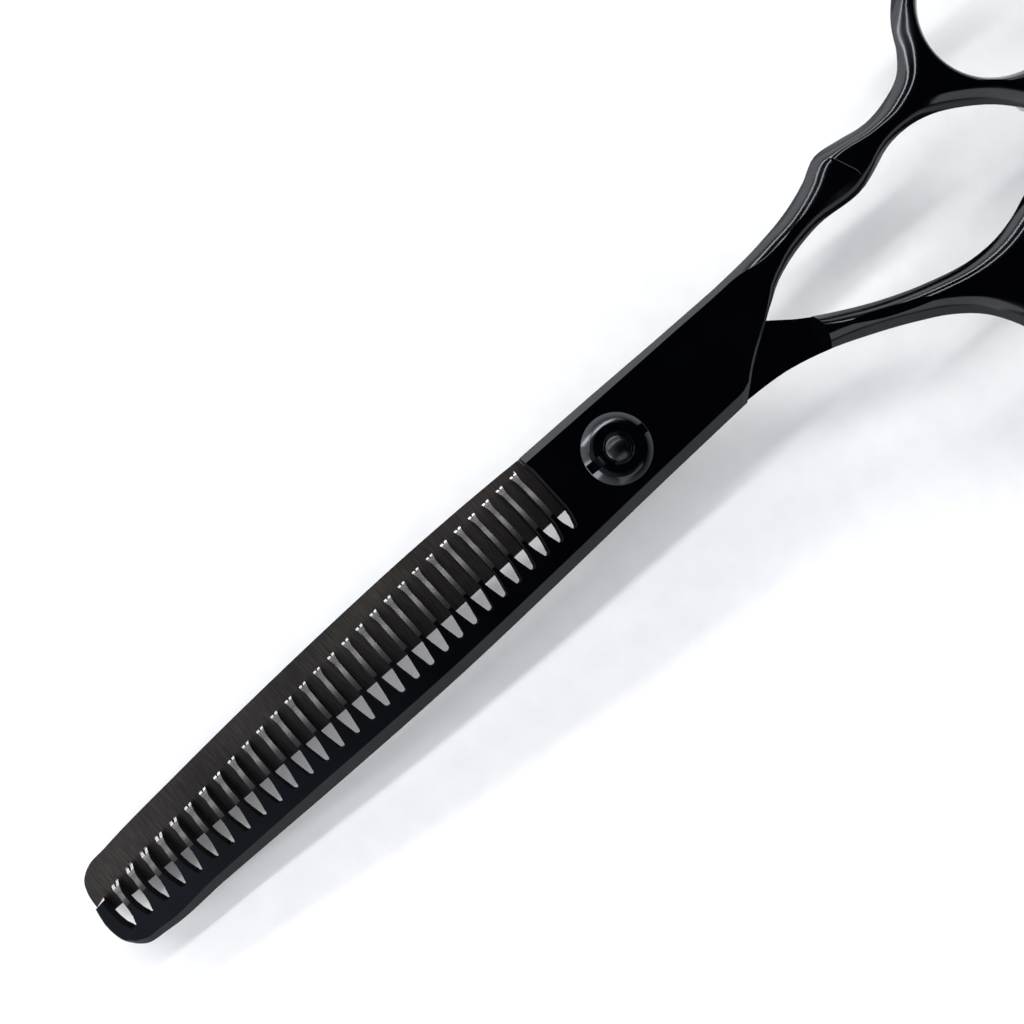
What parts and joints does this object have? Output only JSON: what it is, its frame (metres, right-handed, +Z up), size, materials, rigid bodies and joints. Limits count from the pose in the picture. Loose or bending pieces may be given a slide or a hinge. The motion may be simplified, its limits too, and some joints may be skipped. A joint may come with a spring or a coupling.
{
  "type": "thinning shears",
  "caption": "Hair thinning shears: a comb-toothed blade and a plain blade on an adjustable ball-bearing pivot, offset finger rings, finger rest and bumper.",
  "frame": {"origin": "pivot axis at the flat back face of the pivot bolt's head, which lies in the plane the shears rest on", "axes": "+X from the pivot to the blade tips, +Y towards the toothed blade's spine and the thumb ring, +Z up out of the tension nut"},
  "size_m": [0.1732, 0.0608, 0.007],
  "materials": {
    "black_steel": "glossy black coating on polished steel",
    "bearing_steel": "ground",
    "brass": "turned",
    "white_polymer": "matte",
    "rubber": "matte"
  },
  "bodies": {
    "finger_side": {"toothed_half": "black_steel", "pivot_bushing": "brass", "spring_washer": "bearing_steel", "finger_rest": "black_steel", "bumper": "rubber"},
    "thumb_side": {"plain_half": "black_steel", "pivot_bolt": "black_steel", "lock_cap": "black_steel", "ride_washer": "white_polymer"},
    "nut": {"tension_nut": "black_steel"},
    "bearing": {"bearing_cage": "brass", "bearing_ball_1": "bearing_steel", "bearing_ball_2": "bearing_steel", "bearing_ball_3": "bearing_steel", "bearing_ball_4": "bearing_steel", "bearing_ball_5": "bearing_steel", "bearing_ball_6": "bearing_steel", "bearing_ball_7": "bearing_steel", "bearing_ball_8": "bearing_steel"}
  },
  "joints": [
    {"name": "blade_pivot", "type": "hinge", "parent": "finger_side", "child": "thumb_side", "pos_m": [0, 0, 0], "axis": [0, 0, -1], "range_deg": [0, 110]},
    {"name": "tension_nut_turn", "type": "hinge", "parent": "thumb_side", "child": "nut", "pos_m": [0, 0, 0], "axis": [0, 0, 1], "range_deg": [-180, 180]},
    {"name": "bearing_roll", "type": "hinge", "parent": "finger_side", "child": "bearing", "pos_m": [0, 0, 0], "axis": [0, 0, -1], "range_deg": [0, 60]}
  ],
  "couplings": [
    {"joint": "bearing_roll", "follows": "blade_pivot", "ratio": 0.5}
  ]
}
